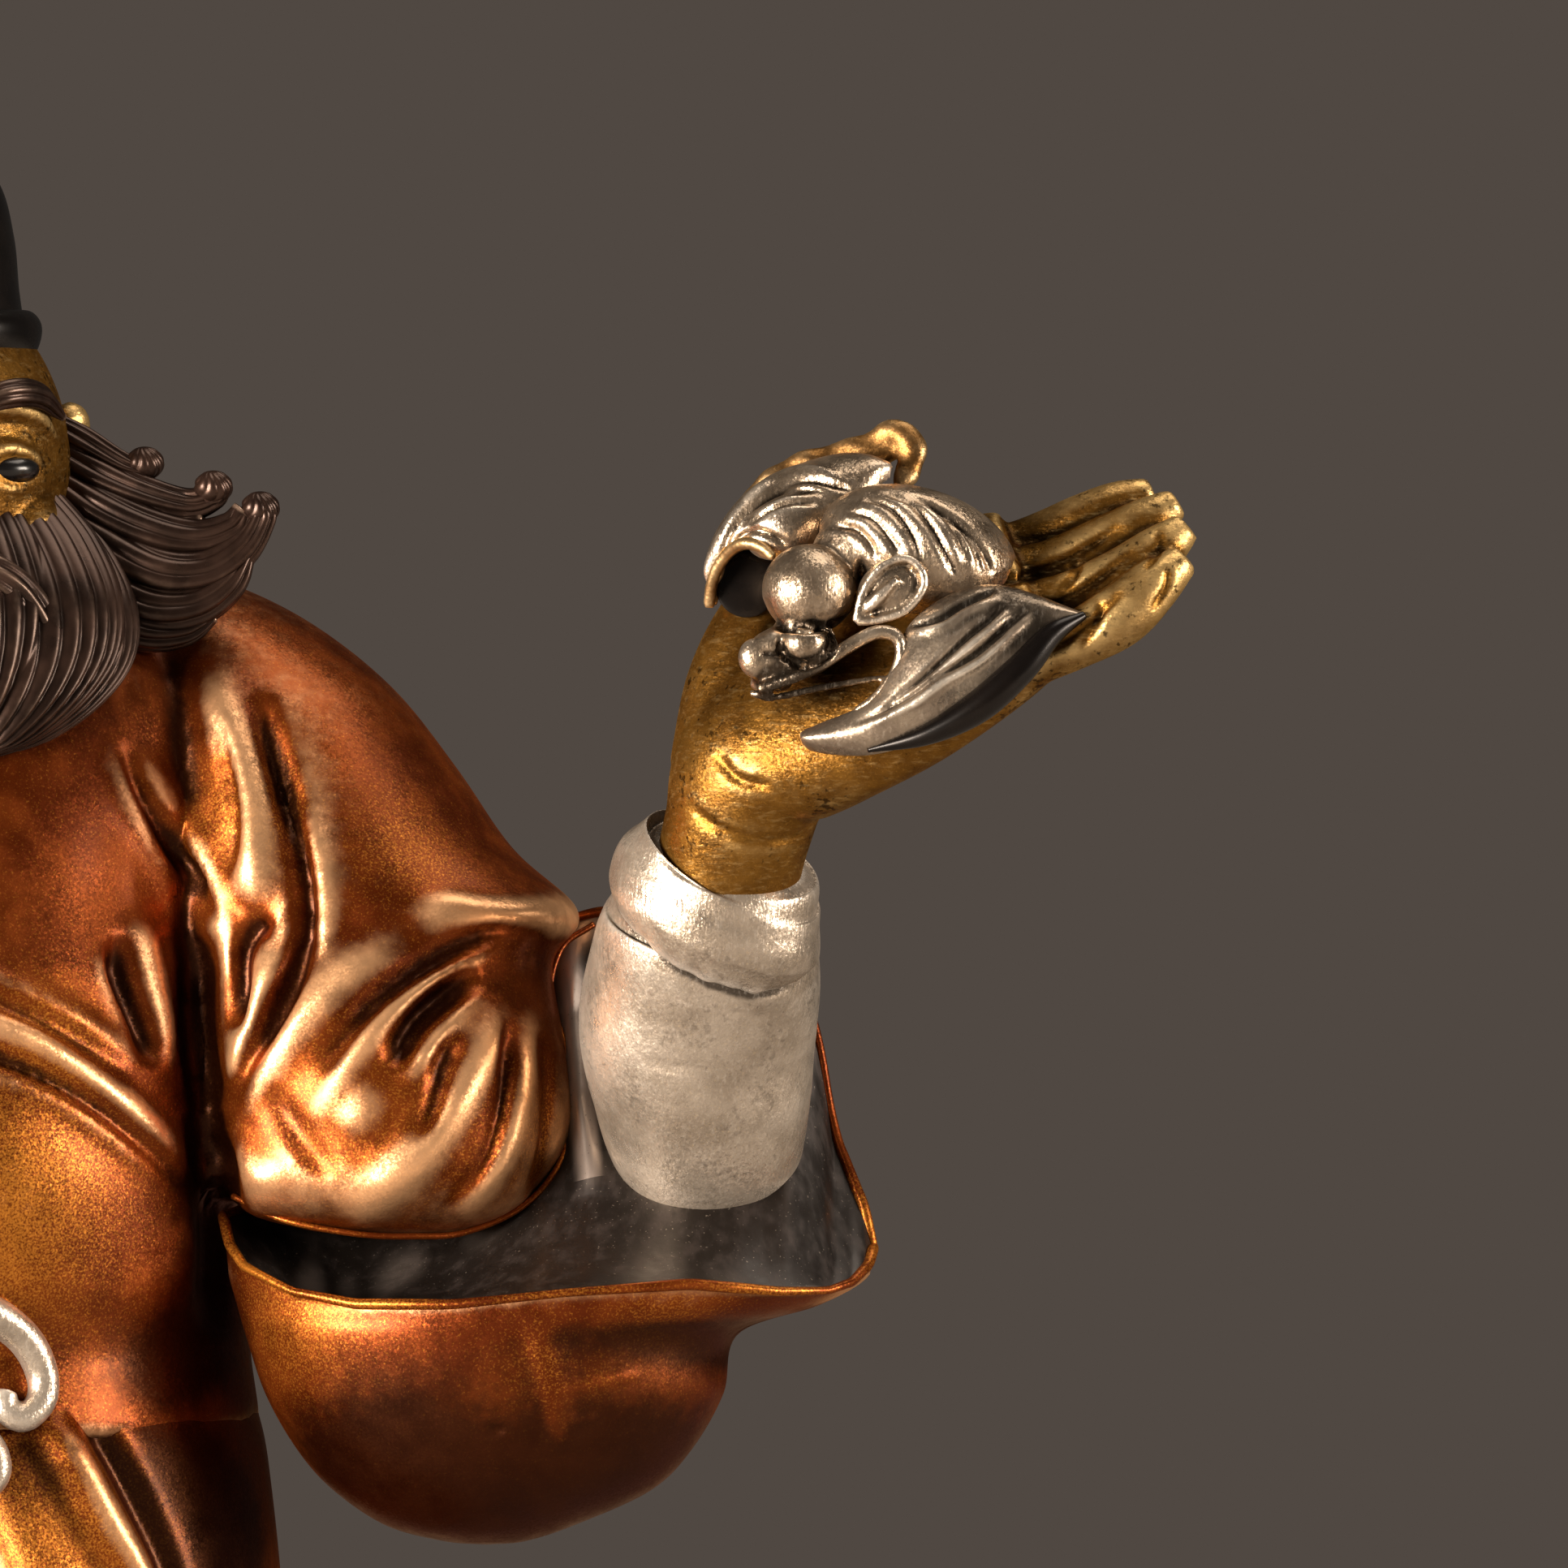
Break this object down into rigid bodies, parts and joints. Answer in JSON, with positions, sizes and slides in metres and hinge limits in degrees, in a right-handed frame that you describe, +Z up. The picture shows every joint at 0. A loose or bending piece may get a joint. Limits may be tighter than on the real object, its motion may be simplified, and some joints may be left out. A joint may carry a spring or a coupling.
{
  "type": "guardian deity statue",
  "caption": "Standing bearded guardian deity in a wide-sleeved robe, a bat on its raised palm and a lift-out sword in its fist, on a round felted plinth.",
  "frame": {"origin": "middle of the felt under the plinth", "axes": "+Z up; the figure faces -Y; its raised left arm reaches towards +X"},
  "size_m": [0.2421, 0.1325, 0.2913],
  "materials": {
    "robe": "copper-brown lacquer over cast bronze, rubbed on the ridges",
    "skin": "aged gold over cast bronze",
    "silver": "brushed warm silver over cast bronze",
    "hair": "black-brown patina over cast bronze",
    "steel": "plain bright steel",
    "felt": "dark felt"
  },
  "bodies": {
    "figure": {"plinth": "robe", "plinth_felt": "felt", "plinth_cover": "steel", "cover_screw_1": "steel", "cover_screw_2": "steel", "cover_screw_3": "steel", "cover_screw_4": "steel", "tie_rod": "steel", "rod_washer_lower": "steel", "rod_washer_upper": "steel", "rod_nut_lower": "steel", "rod_nut_upper": "steel", "boot_left": "hair", "boot_right": "hair", "boot_screw_left": "steel", "boot_screw_right": "steel", "robe_skirt": "robe", "robe_torso": "robe", "belly_clasp": "silver", "clasp_pin": "steel", "sleeve_left": "robe", "sleeve_left_bag": "robe", "forearm_left": "silver", "cuff_left": "silver", "hand_left": "skin", "shoulder_dowel_left": "steel", "sleeve_pin_left": "steel", "elbow_pin_left": "steel", "wrist_pin_left": "steel", "bat_body": "silver", "bat_wing_near": "silver", "bat_wing_far": "silver", "bat_pin": "steel", "sleeve_right": "robe", "forearm_right": "silver", "cuff_right": "silver", "hand_right": "skin", "shoulder_dowel_right": "steel", "forearm_pin_right": "steel", "wrist_pin_right": "steel", "sword_pommel": "skin", "head": "skin", "beard": "hair", "whisker_left": "hair", "whisker_right": "hair", "hat_brim": "hair", "hat_crown": "hair", "hat_pin": "steel"},
    "sword": {"sword_blade": "silver", "sword_guard": "skin", "sword_grip": "skin"}
  },
  "joints": [
    {"name": "sword_lift", "type": "slide", "parent": "figure", "child": "sword", "axis": [-0.1219, 0, 0.9925], "range_m": [0, 0.024]}
  ]
}
